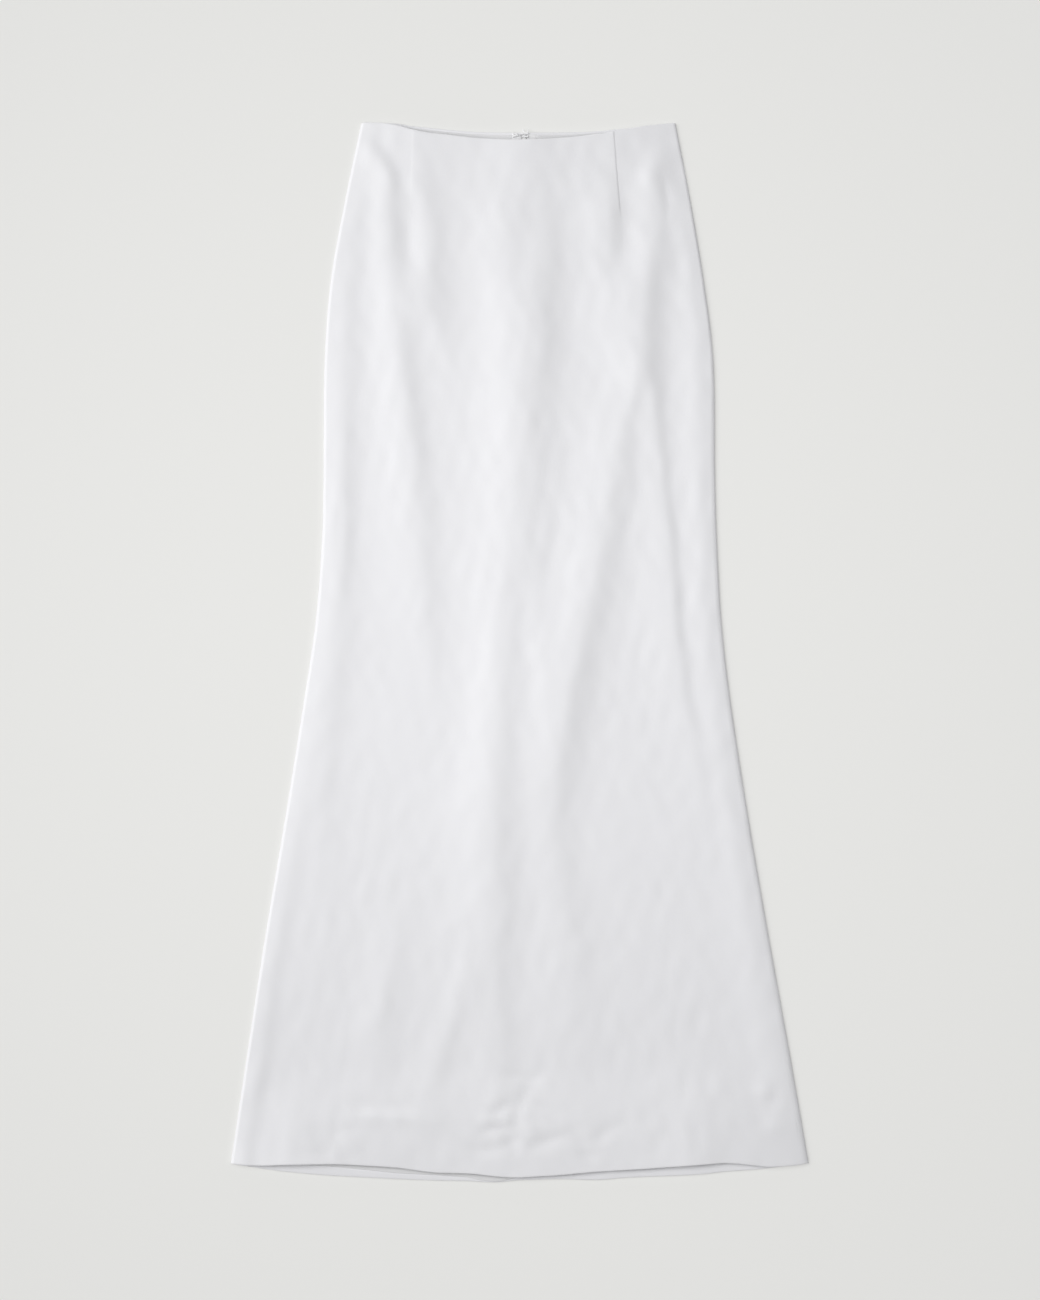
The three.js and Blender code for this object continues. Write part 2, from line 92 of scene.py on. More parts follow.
FACING_TURNINGS = 5.0
FRONT_FACING_MARGIN = 9.0
BACK_WAIST_FACING_MARGIN = 14.0
BACK_HEM_FACING_MARGIN = 30.0
ON_BACK = 1.15  # how high facings and tapes lie on the back
CENTRE_BACK = 5.0
ZIP_TOP = 26.0
ZIP_LENGTH = 180.0
TAPE_INNER = 3.4
TAPE_WIDTH = 10.0
HUMP = {"down": 33.0, "height": 3.2, "across": 28.0, "along": 30.0}  # over the zip's pull tab

OUTLINE = [  # down, half width to the left, to the right
    (0, 177, 174), (86, 195, 190.5), (175, 211, 205.5), (265, 218, 216.5), (399, 219.5, 218.5),
    (466, 221, 220.5), (556, 228, 225.5), (645, 241, 235.5), (779, 262.5, 256), (913, 285, 279),
    (1047, 305.5, 303), (LENGTH, 323, 323),
]

BACK_SHOWS = [(0, 0.3), (200, 0.5), (330, 2.6), (420, 3), (900, 4.2), (LENGTH, 6.2)]  # down, by

FRONT_WAIST = [  # x, down
    (-177, 0), (-158, 0.3), (-145, 1.8), (-134, 4), (-122, 7.8), (-106, 11.2), (-78, 14.4),
    (-56, 17.1), (-40, 18.4), (-16, 19.8), (0, 20), (23, 19.3), (56, 17), (78, 14.5), (95, 12.2),
    (120, 7.5), (134, 4.8), (151, 2.5), (174, 0),
]
BACK_WAIST = [
    (-177, 0), (-152, 0.1), (-134, 1.2), (-122, 3.4), (-106, 5), (-88, 6.8), (-67, 8.9),
    (-44, 10.4), (-16, 11.3), (0, 11.4), (23, 11.2), (56, 10.6), (78, 9.8), (95, 8.6),
    (106, 7.3), (120, 6), (134, 4.3), (174, 0),
]
FRONT_HEM = [
    (-323, 1163), (-295, 1164.6), (-257, 1163.2), (-209, 1162.7), (-172, 1164.3), (-139, 1166.5),
    (-127, 1168), (-95, 1172.2), (-53, 1173.4), (-28, 1176.3), (-5, 1177.6), (22, 1176.3),
    (45, 1175), (82, 1171.6), (137, 1168.2), (201, 1163.3), (231, 1161.6), (257, 1163.8),
    (278, 1166.2), (302, 1165), (323, 1163),
]
BACK_HEM = [
    (-323, 1163.4), (-295, 1167.6), (-259, 1172.3), (-209, 1176.4), (-144, 1179.7), (-98, 1181.8),
    (-59, 1182.4), (-28, 1183.9), (-2, 1181.6), (45, 1180.2), (86, 1181.2), (118, 1178.8),
    (137, 1178), (201, 1175), (231, 1171.7), (257, 1170), (285, 1167.4), (323, 1163),
]
BACK_FACING_HEM = [
    (-323, 1158), (-257, 1163.6), (-209, 1166), (-172, 1169.6), (-140, 1173), (-100, 1175.2),
    (-60, 1178), (-44, 1181.2), (-24, 1182.6), (-8, 1179.6), (20, 1174), (323, 1158),
]

# The front's folds: down, x of the crest, height, and how far it reaches to its left and right.
FOLDS = {
    "crown": [
        (0, 0, 2, 105, 105), (198, 0, 3, 110, 110), (466, 0, 3, 110, 115), (800, 0, 3, 140, 150),
        (LENGTH, 0, 1.5, 170, 170),
    ],
    "left_edge": [
        (40, -176, 0.8, 40, 10), (103, -188, 1.2, 40, 9), (198, -198, 1.5, 40, 12),
        (310, -199, 2.4, 40, 12), (400, -200, 3.2, 40, 10), (466, -202, 3.4, 40, 11),
        (578, -209, 2.8, 40, 16), (645, -216, 2.4, 40, 13), (712, -223, 2.2, 40, 15),
        (779, -226, 1.8, 40, 15), (869, -222, 0.9, 45, 16), (958, -222, 0.4, 50, 18),
        (1003, -230, 0, 50, 18),
    ],
    "low_left_edge": [
        (720, -248, 0, 30, 9), (779, -252, 1, 30, 7), (869, -266, 1.3, 30, 7),
        (958, -280, 1.7, 30, 7), (1048, -292, 1.9, 30, 7), (1115, -306, 2.2, 30, 8),
        (LENGTH, -313, 2.4, 30, 8),
    ],
    "left_hip": [
        (12, -178, 0, 12, 8), (30, -164, 1.4, 12, 8), (46, -154, 2.6, 13, 8), (64, -147, 3.4, 14, 8),
        (103, -146, 3.4, 14, 9), (142, -145, 3.6, 14, 10), (198, -141, 4, 15, 17),
        (254, -136, 4, 17, 13), (310, -129, 4.4, 19, 13), (377, -122, 3.8, 20, 13),
        (444, -117, 3.2, 24, 15), (511, -110, 2.6, 24, 13), (578, -104, 1.5, 26, 9),
        (645, -93, 0.5, 26, 10), (740, -88, 0, 26, 14),
    ],
    "left_dart": [
        (20, -110, 0, 11, 14), (64, -112, 1.6, 11, 12), (103, -105, 2.4, 12, 13),
        (142, -102, 3.1, 12, 12), (198, -104, 3.8, 18, 15), (254, -88, 1, 17, 13),
        (330, -80, 0, 18, 14),
    ],
    "centre": [
        (20, -20, 0, 22, 24), (64, -24, 0.8, 20, 24), (103, -14, 2.9, 22, 18),
        (142, -18, 3.4, 22, 18), (198, -14, 4, 20, 24), (310, -9, 4.4, 22, 24),
        (377, -5, 4.8, 24, 26), (444, -6, 4.4, 26, 27), (511, -16, 3.8, 24, 20),
        (578, -21, 4, 20, 20), (645, -26, 4.4, 20, 19), (712, -30, 4.8, 23, 18),
        (779, -32, 5.2, 30, 20), (869, -30, 4.2, 26, 19), (958, -28, 2.2, 32, 12),
        (1048, -24, 1.5, 18, 13), (1110, -26, 0.8, 16, 14), (1150, -30, 0.3, 16, 16),
    ],
    "centre_right": [
        (64, 30, 0, 16, 14), (103, 26, 1.3, 14, 14), (142, 26, 2.7, 16, 14), (198, 22, 3.2, 18, 15),
        (254, 23, 3, 18, 14), (310, 14, 2.2, 18, 18), (377, 14, 0.8, 16, 18), (430, 20, 0, 12, 16),
        (480, 18, 0.8, 12, 14), (540, 20, 1.5, 12, 12), (600, 24, 1.2, 12, 10), (660, 30, 0, 12, 10),
    ],
    "right_dart": [
        (50, 96, 0, 18, 9), (80, 97, 1.8, 18, 9), (103, 98, 3.2, 20, 9), (131, 98, 2.8, 20, 10),
        (160, 97, 2, 20, 12), (198, 95, 1.2, 20, 14), (243, 94, 0, 20, 14),
    ],
    "right_hip": [
        (20, 162, 0, 10, 10), (50, 150, 2.2, 10, 11), (64, 148, 3, 10, 12), (103, 148, 2.2, 14, 15),
        (142, 146, 4, 14, 14), (198, 137, 5.2, 28, 14), (254, 137, 5, 30, 13),
        (310, 147, 3, 14, 8), (377, 155.5, 2.3, 18, 6), (421, 160.5, 2.1, 20, 5.5),
        (466, 167, 2.1, 22, 5.5), (556, 172.5, 2.1, 22, 5.5), (645, 184, 1.6, 22, 6),
        (712, 196, 1.1, 22, 8), (779, 204, 0.6, 22, 9), (869, 212, 0, 22, 10),
    ],
    "diagonal": [
        (240, 132, 0, 26, 12), (280, 127, 1.8, 24, 11), (310, 121, 2.8, 24, 10),
        (377, 108, 3.6, 26, 14), (444, 95, 3.8, 28, 15), (511, 80, 4.6, 28, 18),
        (578, 64, 5, 28, 17), (645, 51, 5.4, 30, 17), (712, 40, 4.8, 28, 17),
        (779, 34, 3, 24, 16), (869, 44, 2.2, 24, 16), (958, 58, 1.6, 28, 16),
        (1048, 62, 0.6, 28, 18), (1110, 62, 0, 28, 18),
    ],
    "right_edge": [
        (60, 182, 0, 12, 40), (142, 192, 1.3, 12, 40), (254, 199, 1.6, 12, 40),
        (421, 205, 1.6, 13, 40), (600, 213, 1.6, 15, 40), (779, 240, 1.6, 16, 40),
        (958, 268, 1.4, 18, 40), (1126, 303, 1.4, 16, 40),
    ],
    "waist_lift": [(0, -20, 2.4, 85, 75), (30, -20, 1.2, 85, 75), (80, -20, 0, 85, 75)],
    "waist_left_lift": [(0, -112, 1.7, 24, 36), (50, -114, 1.1, 24, 30), (110, -116, 0, 24, 26)],
    "waist_right_lift": [(0, 94, 1.5, 36, 20), (50, 92, 0.8, 30, 20), (100, 90, 0, 26, 20)],
    "over_zip": [(0, 5, 0.9, 22, 22), (215, 5, 0.9, 22, 22), (300, 5, 0, 22, 22)],
    "low_left": [
        (869, -136, 0, 14, 12), (958, -150, 1.6, 14, 12), (1003, -157, 1.6, 14, 12),
        (1048, -162, 0.9, 16, 14), (1110, -164, 0.4, 16, 14), (LENGTH, -172, 0.6, 24, 20),
    ],
    "low_streak": [
        (930, -52, 0, 12, 9), (958, -60, 1.1, 12, 9), (1003, -76, 1.3, 12, 9),
        (1048, -92, 1.4, 13, 10), (1100, -104, 0.6, 13, 10), (1150, -110, 0, 14, 12),
    ],
    "hem_left": [
        (1080, -250, 0, 42, 34), (1115, -252, 0.9, 40, 30), (1140, -254, 2, 40, 34),
        (LENGTH, -256, 3.6, 42, 36),
    ],
    "hem_right": [
        (1030, 196, 0, 24, 20), (1126, 200, 1.6, 26, 20), (LENGTH, 196, 2.4, 40, 26),
    ],
}

# Short creases: a bent line of (x, down), the height at its middle, and its reach.
CREASES = [
    ([(-26, 1062), (0, 1065), (14, 1068), (30, 1058)], -0.96, 4.3),
    ([(14, 1068), (4, 1089), (-3, 1104), (-8, 1126)], -1.11, 4.3),
    ([(-36, 1109), (-19, 1100), (-4, 1090)], -1.41, 4.3),
    ([(-50, 1112), (-22, 1115), (-6, 1110)], 1.11, 4.7),
    ([(-47, 1133), (-30, 1121), (-10, 1124)], -1.26, 4.1),
    ([(-30, 1150), (-22, 1137), (-26, 1128)], 0.8, 3.2),
    ([(-9, 1130), (-4, 1143), (-12, 1158)], -0.8, 3.4),
    ([(28, 1116), (38, 1124), (52, 1122)], 0.7, 3.6),
    ([(60, 1150), (76, 1154), (96, 1149)], -0.7, 3.8),
    ([(-66, 1140), (-40, 1148), (-16, 1141), (4, 1129)], -1.33, 5.2),
    ([(6, 1147), (26, 1138), (54, 1131)], -1.33, 5.7),
    ([(4, 1117), (14, 1128), (22, 1130)], 1.04, 5.7),
    ([(8, 1094), (26, 1099), (46, 1111)], -0.89, 3.7),
    ([(52, 1118), (66, 1128), (72, 1144)], -0.67, 4.7),
    ([(78, 1143), (92, 1130), (114, 1116)], -1.04, 5.7),
    ([(240, 1084), (252, 1097), (276, 1106)], -0.7, 5.2),
    ([(262, 1080), (284, 1085)], 0.8, 4.7),
    ([(274, 1089), (292, 1095)], -0.7, 3.9),
    ([(300, 1072), (288, 1078), (280, 1090)], -0.4, 4.6),
    ([(262, 1128), (284, 1122), (302, 1126)], 0.67, 6.7),
    ([(200, 1114), (199, 1156)], -0.52, 4.3),
    ([(150, 1112), (139, 1134), (136, 1152)], 0.81, 9.7),
    ([(-210, 1114), (-160, 1108), (-112, 1113), (-78, 1124)], 1.26, 6.7),
    ([(-184, 1096), (-150, 1102), (-120, 1100)], -0.81, 5.7),
    ([(-252, 1150), (-206, 1151)], -0.74, 5.2),
    ([(-196, 1126), (-188, 1152)], 0.81, 9.7),
    ([(-262, 1096), (-250, 1118), (-256, 1140)], 0.74, 9.7),
    ([(82.5, 1154), (83, 1168)], -0.9, 1.5),
    ([(-199, 404), (-202, 450), (-203, 498)], -0.45, 2),
    ([(-14, 43), (14, 41.5), (42, 43)], -0.12, 1),
    ([(146, 24), (147, 36)], 0.16, 1.1),
    ([(-40, 445), (-8, 452), (24, 447)], -0.14, 2.2),
    ([(160, 60), (165, 92), (164, 118)], -0.7, 3),
    ([(-92, 905), (-70, 892), (-50, 880)], 0.25, 5),
]

# The darts: where each stitched line runs (down, x), where it ends, the side its intake lies on,
# how far it steps up there and how softly, and the groove that its stitches pull.
DARTS = [
    {"line": [(8, -119.5), (97, -121.5)], "end": 97, "fade": 40, "intake": 1,
     "step": 0.2, "soft": 1.4, "groove": 0.0},
    {"line": [(8, 105), (60, 109), (106, 113)], "end": 107, "fade": 14, "intake": -1,
     "step": 0.55, "soft": 0.7, "groove": 0.2},
]


class Curve:
    """A smooth line through knots, level past both ends."""

    def __init__(self, at, value):
        self.at, self.value = np.array(at, float), np.array(value, float)
        last = len(self.at) - 1
        before = np.maximum(np.arange(last + 1) - 1, 0)
        after = np.minimum(np.arange(last + 1) + 1, last)
        self.slope = (self.value[after] - self.value[before]) / (self.at[after] - self.at[before])

    def __call__(self, q):
        q = np.clip(np.asarray(q, float), self.at[0], self.at[-1])
        i = np.clip(np.searchsorted(self.at, q) - 1, 0, len(self.at) - 2)
        span = self.at[i + 1] - self.at[i]
        t = (q - self.at[i]) / span
        rise = t * t * (3 - 2 * t)
        bend = self.slope[i] * t * (1 - t) ** 2 - self.slope[i + 1] * t * t * (1 - t)
        return self.value[i] * (1 - rise) + self.value[i + 1] * rise + span * bend


def curves(table):
    """One curve for each column after the first, against the first."""
    columns = list(zip(*table))
    return [Curve(columns[0], column) for column in columns[1:]]


left_half, right_half = curves(OUTLINE)
(back_shows,) = curves(BACK_SHOWS)
(front_waist,) = curves(FRONT_WAIST)
(back_waist,) = curves(BACK_WAIST)
(front_hem,) = curves(FRONT_HEM)
(back_hem,) = curves(BACK_HEM)
(back_facing_hem,) = curves(BACK_FACING_HEM)
fold_curves = {name: curves(rows) for name, rows in FOLDS.items()}
dart_lines = [curves(dart["line"])[0] for dart in DARTS]


def eased(q, start, end):
    t = np.clip((q - start) / (end - start), 0, 1)
    return t * t * (3 - 2 * t)


def mix(a, b, share):
    return a + (b - a) * share


# ---- Heights ----


def back_under(x, down):
    """The underside of the back, which rises over the zip's pull tab."""
    across = (x - CENTRE_BACK) / HUMP["across"]
    along = (down - HUMP["down"]) / HUMP["along"]
    height = HUMP["height"] * np.exp(-0.5 * (across ** 2 + along ** 2))
    return np.where(height < 0.02, 0.0, height)


def back_hem_lift(x, down):
    """The back's hem stands a little off the floor, in shallow waves, except at the sides."""
    inside = np.minimum(x + left_half(down), right_half(down) - x)
    waves = 1.0 + 0.3 * np.sin(x / 31.0 + 0.8) + 0.15 * np.sin(x / 13.0)
    return waves * eased(inside, 5, 45) * eased(down, LENGTH - 75, LENGTH - 5)


def folds_at(x, down):
    total = np.zeros(np.broadcast(x, down).shape)
    for crest, height, left, right in fold_curves.values():
        away = x - crest(down)
        reach = np.where(away < 0, left(down), right(down))
        total += np.maximum(height(down), 0) * np.exp(-0.5 * (away / reach) ** 2)
    return total


def distance_to_line(x, down, line):
    """How far each place is from a bent line, and how far along the line its nearest point is."""
    nearest = np.full(x.shape, 1e9)
    along = np.zeros(x.shape)
    lengths = [math.dist(a, b) for a, b in zip(line, line[1:])]
    gone = 0.0
    for (ax, ad), (bx, bd), length in zip(line, line[1:], lengths):
        ux, ud = (bx - ax) / length, (bd - ad) / length
        t = np.clip((x - ax) * ux + (down - ad) * ud, 0, length)
        d = np.hypot(x - ax - ux * t, down - ad - ud * t)
        closer = d < nearest
        nearest = np.where(closer, d, nearest)
        along = np.where(closer, (gone + t) / sum(lengths), along)
        gone += length
    return nearest, along


def creases_at(x, down):
    total = np.zeros(x.shape)
    for line, height, reach in CREASES:
        away, along = distance_to_line(x, down, line)
        ends = np.sin(math.pi * np.clip(along, 0.02, 0.98)) ** 0.7
        total += height * ends * np.exp(-0.5 * (away / reach) ** 2)
    return total


random_waves = np.random.default_rng(11)
SOFT_WAVES = [  # a slight unevenness all over the cloth
    (random_waves.uniform(0.012, 0.05), random_waves.uniform(0.004, 0.03),
     random_waves.uniform(0, 2 * math.pi), random_waves.uniform(0.014, 0.038))
    for _ in range(36)
]


def unevenness(x, down):
    total = np.zeros(np.broadcast(x, down).shape)
    for number, (across, along, phase, height) in enumerate(SOFT_WAVES):
        turned = along if number % 2 else -along
        total += height * np.sin(2 * math.pi * (across * x + turned * down) + phase)
    return total


def right_roll(down):
    """How wide the roll at the right side is: it takes in the seam, which lies on top there."""
    return 0.85 * SIDE_ROLL + 0.75 * back_shows(down)


def front_top(x, down):
    """The top of the front, but for its roll at the sides."""
    near_waist = 1 - eased(down, *WAIST_STACK_ENDS)
    near_hem = eased(down, HEM_STACK_START, LENGTH - HEM_DEPTH)
    # The layers lie closer together towards the sides.
    from_left, from_right = x + left_half(down), right_half(down) - x
    inside = np.minimum(from_left, from_right)
    stack = BODY_STACK
    stack += (WAIST_STACK - BODY_STACK) * near_waist * eased(inside, 0, WAIST_STACK_INSIDE)
    stack += (HEM_STACK - BODY_STACK) * near_hem * eased(inside, 0, HEM_STACK_INSIDE)
    pressed = 0.0
    for away, press in ((from_left, EDGE_PRESS_LEFT), (from_right, EDGE_PRESS_RIGHT)):
        pressed = pressed + press["share"] * np.exp(-(away / press["reach"]) ** 2)
    height = 0.6 * back_under(x, down) + 2 * CAD_CLOTH + back_hem_lift(x, down)
    height += (stack + folds_at(x, down)) * (1 - pressed) - EDGE_SETTLE * pressed
    height += creases_at(x, down) + unevenness(x, down)
    # The facings' far edges print through as soft steps.
    waist_print = down - front_waist(x) - FACING_DEPTH
    hem_print = front_hem(x) - HEM_DEPTH - down
    height -= 0.12 * eased(waist_print, -2, 3) + 0.1 * eased(hem_print, -2, 3)
    for line, dart in zip(dart_lines, DARTS):
        fading = 1 - eased(down, dart["end"] - dart["fade"], dart["end"] + 2)
        away = (x - line(down)) * dart["intake"]
        step = 0.5 + 0.5 * np.tanh(away / dart["soft"])
        ending = np.exp(-(np.maximum(away, 0) / 10) ** 2)
        groove = np.exp(-0.5 * (away / 0.5) ** 2)
        height += fading * (dart["step"] * step * ending - dart["groove"] * groove)
    return height


# ---- Cloth ----


def grid_normals(points):
    """Which way a grid's outer side faces. Its y runs up the frame, and its rows run down it."""
    across = np.gradient(points, axis=1)
    along = np.gradient(points, axis=0)
    normal = np.cross(along, across)
    return normal / np.maximum(np.linalg.norm(normal, axis=2, keepdims=True), 1e-9)


def to_frame(points):
    """From x, down and height in millimetres to the frame's metres."""
    return np.stack([points[..., 0], WAIST_Y - points[..., 1], points[..., 2]], axis=-1) * MM


def link_object(name, data):
    obj = bpy.data.objects.new(name, data)
    bpy.context.scene.collection.objects.link(obj)
    return obj


def new_object(name, vertices, faces, uv=None):
    mesh = bpy.data.meshes.new(name)
    mesh.from_pydata(vertices, [], faces)
    mesh.validate()
    mesh.polygons.foreach_set("use_smooth", [True] * len(mesh.polygons))
    if uv is not None:
        layer = mesh.uv_layers.new(name="cloth")
        corner = np.zeros(len(mesh.loops), np.int32)
        mesh.loops.foreach_get("vertex_index", corner)
        layer.data.foreach_set("uv", np.asarray(uv, np.float32)[corner].ravel())
    return link_object(name, mesh)


def plain_mesh(obj):
    """What an object's curve or modifiers come to, as a mesh. The object itself is removed."""
    evaluated = obj.evaluated_get(bpy.context.evaluated_depsgraph_get())
    mesh = bpy.data.meshes.new_from_object(evaluated)
    bpy.data.objects.remove(obj)
    return mesh


def cloth_shell(name, outer, thick):
    """A closed shell of cloth from the grid of its outer side, with rounded edges all round.

    The grid's rows run from waist to hem. Its columns run to the right where the cloth's outer
    side faces up, and to the left where it faces down. thick is a number or a grid of them.
    """
    rows, columns = outer.shape[:2]
    placed = to_frame(outer)
    normals = grid_normals(placed)
    uv = outer[..., :2] * MM  # the cloth's own flat measure, near enough: across and along
    wall = (np.broadcast_to(thick, (rows, columns)) * MM)[..., None]
    inner = placed - normals * wall
    ring = [(0, c) for c in range(columns)]
    ring += [(r, columns - 1) for r in range(1, rows)]
    ring += [(rows - 1, c) for c in range(columns - 2, -1, -1)]
    ring += [(r, 0) for r in range(rows - 2, 0, -1)]
    ring_rows, ring_columns = np.array(ring).T
    outward = np.zeros(placed.shape)
    outward[0] += placed[0] - placed[1]
    outward[-1] += placed[-1] - placed[-2]
    outward[:, 0] += placed[:, 0] - placed[:, 1]
    outward[:, -1] += placed[:, -1] - placed[:, -2]
    outward = outward[ring_rows, ring_columns]
    outward /= np.maximum(np.linalg.norm(outward, axis=1, keepdims=True), 1e-12)
    half = wall[ring_rows, ring_columns] / 2
    up = normals[ring_rows, ring_columns]
    middle = placed[ring_rows, ring_columns] - up * half
    rims = [
        middle + half * (up * math.cos(angle) + outward * math.sin(angle))
        for angle in np.radians((45, 90, 135))
    ]
    sheet = rows * columns
    vertices = np.concatenate([placed.reshape(-1, 3), inner.reshape(-1, 3), *rims])
    flat = np.concatenate([uv.reshape(-1, 2)] * 2 + [uv[ring_rows, ring_columns]] * 3)
    number = np.arange(sheet).reshape(rows, columns)
    quads = np.stack([number[:-1, :-1], number[1:, :-1], number[1:, 1:], number[:-1, 1:]], -1)
    quads = quads.reshape(-1, 4)
    faces = [quads, quads[:, ::-1] + sheet]
    around = len(ring)
    edge = number[ring_rows, ring_columns]
    loops = [edge] + [2 * sheet + around * k + np.arange(around) for k in range(3)] + [edge + sheet]
    for near, far in zip(loops, loops[1:]):
        faces.append(np.stack([near, np.roll(near, -1), np.roll(far, -1), far], -1))
    return new_object(name, vertices, np.concatenate(faces).tolist(), flat)


def fold_in(points, normals, radius, depth, steps=6, inside=3):
    """Rows that carry the cloth round an edge at one end of a grid and back inside it.

    points and normals are the rows nearest the end, the end's own row first. depth is how far
    the cloth goes back inside, at each column.
    """
    edge, up = points[0], normals[0]
    onward = points[0] - points[1]
    onward /= np.maximum(np.linalg.norm(onward, axis=1, keepdims=True), 1e-9)
    radius = radius[:, None]
    turned = [
        edge - up * radius * (1 - math.cos(a)) + onward * radius * math.sin(a)
        for a in np.linspace(0, math.pi, steps + 1)[1:]
    ]
    back_in = [
        edge - up * radius * 2 - onward * depth[:, None] * (k / inside)
        for k in range(1, inside + 1)
    ]
    return np.array(turned + back_in)


def folded_cloth(columns, tight, rounding, waist_depth, hem_depth, thick):
    """The outer grid and the thickness of a cloth that folds in at its waist and its hem.

    columns are its points from waist to hem, and tight is each column's share of the rounding.
    """
    grid = np.stack(columns, axis=1)
    normals = grid_normals(grid * (1, -1, 1)) * (1, -1, 1)
    at_waist = fold_in(grid[:2], normals[:2], rounding * tight, waist_depth * tight)
    at_hem = fold_in(grid[-1:-3:-1], normals[-1:-3:-1], rounding * tight, hem_depth * tight)
    whole = np.concatenate([at_waist[::-1], grid, at_hem])
    thickness = np.full(whole.shape[:2], thick)
    thickness[:len(at_waist)] *= tight
    thickness[-len(at_hem):] *= tight
    return whole, thickness


def column_points(x, down, height):
    return np.stack(np.broadcast_arrays(x, down, height), axis=-1)


# ---- Materials ----


def add_node(tree, kind, **values):
    """A new node, with values for its inputs. An underscore stands for a space in their names."""
    node = tree.nodes.new(kind)
    for label, value in values.items():
        node.inputs[label.replace("_", " ")].default_value = value
    return node


def new_material(name, **values):
    """A material of one shader, with values for the shader's inputs."""
    material = bpy.data.materials.new(name)
    material.use_nodes = True
    tree = material.node_tree
    tree.nodes.clear()
    output = add_node(tree, "ShaderNodeOutputMaterial")
    shader = add_node(tree, "ShaderNodeBsdfPrincipled", **values)
    tree.links.new(shader.outputs[0], output.inputs[0])
    return material, tree, shader


def add_bump(tree, height, shader, strength, distance):
    bump = add_node(tree, "ShaderNodeBump", Strength=strength, Distance=distance)
    tree.links.new(height, bump.inputs["Height"])
    tree.links.new(bump.outputs["Normal"], shader.inputs["Normal"])


def satin_material(name, colour, shade, roughness, grain):
    """Satin crepe: a fine pebbled grain, faint long floats of warp, and slightly uneven white."""
    material, tree, shader = new_material(
        name, Roughness=roughness, Specular_IOR_Level=0.42, Sheen_Weight=0.12, Sheen_Roughness=0.45,
    )
    link = tree.links.new
    place = add_node(tree, "ShaderNodeTexCoord").outputs["Object"]
    cloud = add_node(tree, "ShaderNodeTexNoise", Scale=16, Detail=3)
    link(place, cloud.inputs["Vector"])
    blend = add_node(tree, "ShaderNodeMix")
    blend.data_type = "RGBA"
    blend.inputs[6].default_value = (*colour, 1)  # inputs 6 and 7 are this node's two colours
    blend.inputs[7].default_value = (*shade, 1)
    link(cloud.outputs["Fac"], blend.inputs[0])
    link(blend.outputs[2], shader.inputs["Base Color"])
    stretch = add_node(tree, "ShaderNodeMapping", Scale=(1900, 520, 1900))
    link(place, stretch.inputs["Vector"])
    floats = add_node(tree, "ShaderNodeTexNoise", Scale=1, Detail=2)
    link(stretch.outputs["Vector"], floats.inputs["Vector"])
    pebble = add_node(tree, "ShaderNodeTexNoise", Scale=420, Detail=2)
    link(place, pebble.inputs["Vector"])
    both = add_node(tree, "ShaderNodeMath")
    both.operation = "ADD"
    link(floats.outputs["Fac"], both.inputs[0])
    link(pebble.outputs["Fac"], both.inputs[1])
    add_bump(tree, both.outputs[0], shader, grain, 0.12 * MM)
    return material


def tape_material(name, colour):
    """Twill tape: fine slanting ribs."""
    material, tree, shader = new_material(name, Base_Color=(*colour, 1), Roughness=0.85)
    place = add_node(tree, "ShaderNodeTexCoord").outputs["Object"]
    ribs = add_node(tree, "ShaderNodeTexWave", Scale=420, Distortion=0.6)
    ribs.bands_direction = "DIAGONAL"
    tree.links.new(place, ribs.inputs["Vector"])
    add_bump(tree, ribs.outputs["Fac"], shader, 0.6, 0.2 * MM)
    return material


def hard_material(name, colour, roughness, metallic, uneven):
    """Enamel, nylon, steel or thread, with slight smudges in its gloss."""
    material, tree, shader = new_material(name, Base_Color=(*colour, 1), Metallic=metallic)
    place = add_node(tree, "ShaderNodeTexCoord").outputs["Object"]
    smudge = add_node(tree, "ShaderNodeTexNoise", Scale=600)
    tree.links.new(place, smudge.inputs["Vector"])
    spread = add_node(
        tree, "ShaderNodeMapRange", To_Min=roughness - uneven, To_Max=roughness + uneven,
    )
    tree.links.new(smudge.outputs["Fac"], spread.inputs["Value"])
    tree.links.new(spread.outputs["Result"], shader.inputs["Roughness"])
    return material


satin = satin_material("satin_right_side", (0.805, 0.805, 0.828), (0.785, 0.785, 0.808), 0.46, 0.35)
# The wrong side is a duller white, and is darkened further as painted shade for the strips of facing
# that show in the gaps at the waist and the hem.
satin_back_with_painted_shade = satin_material("satin_wrong_side", (0.71, 0.71, 0.72), (0.69, 0.69, 0.70), 0.62, 0.5)
twill = tape_material("zip_tape_twill", (0.79, 0.79, 0.8))
nylon = hard_material("zip_nylon", (0.76, 0.76, 0.75), 0.4, 0.0, 0.08)
enamel = hard_material("zip_enamel", (0.78, 0.78, 0.77), 0.28, 0.0, 0.08)
wire = hard_material("hook_wire", (0.66, 0.66, 0.67), 0.4, 0.2, 0.1)
thread = hard_material("sewing_thread", (0.88, 0.88, 0.89), 0.6, 0.0, 0.1)


def wear(obj, material, replaced=()):
    """Give a piece its material, and say what it belongs to and stands for."""
    obj.data.materials.clear()
    obj.data.materials.append(material)
    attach(obj, "skirt")
    if replaced:
        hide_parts(*replaced)


# ---- The front ----

DART_DOWN = 50  # where the darts' places among the columns are measured
DART_COLUMNS = (-2.6, -1.5, -0.8, -0.35, 0, 0.35, 0.8, 1.5, 2.6)  # mm to each side of a dart
PANEL_HALF = 168  # about half the panel's width near the waist, in mm


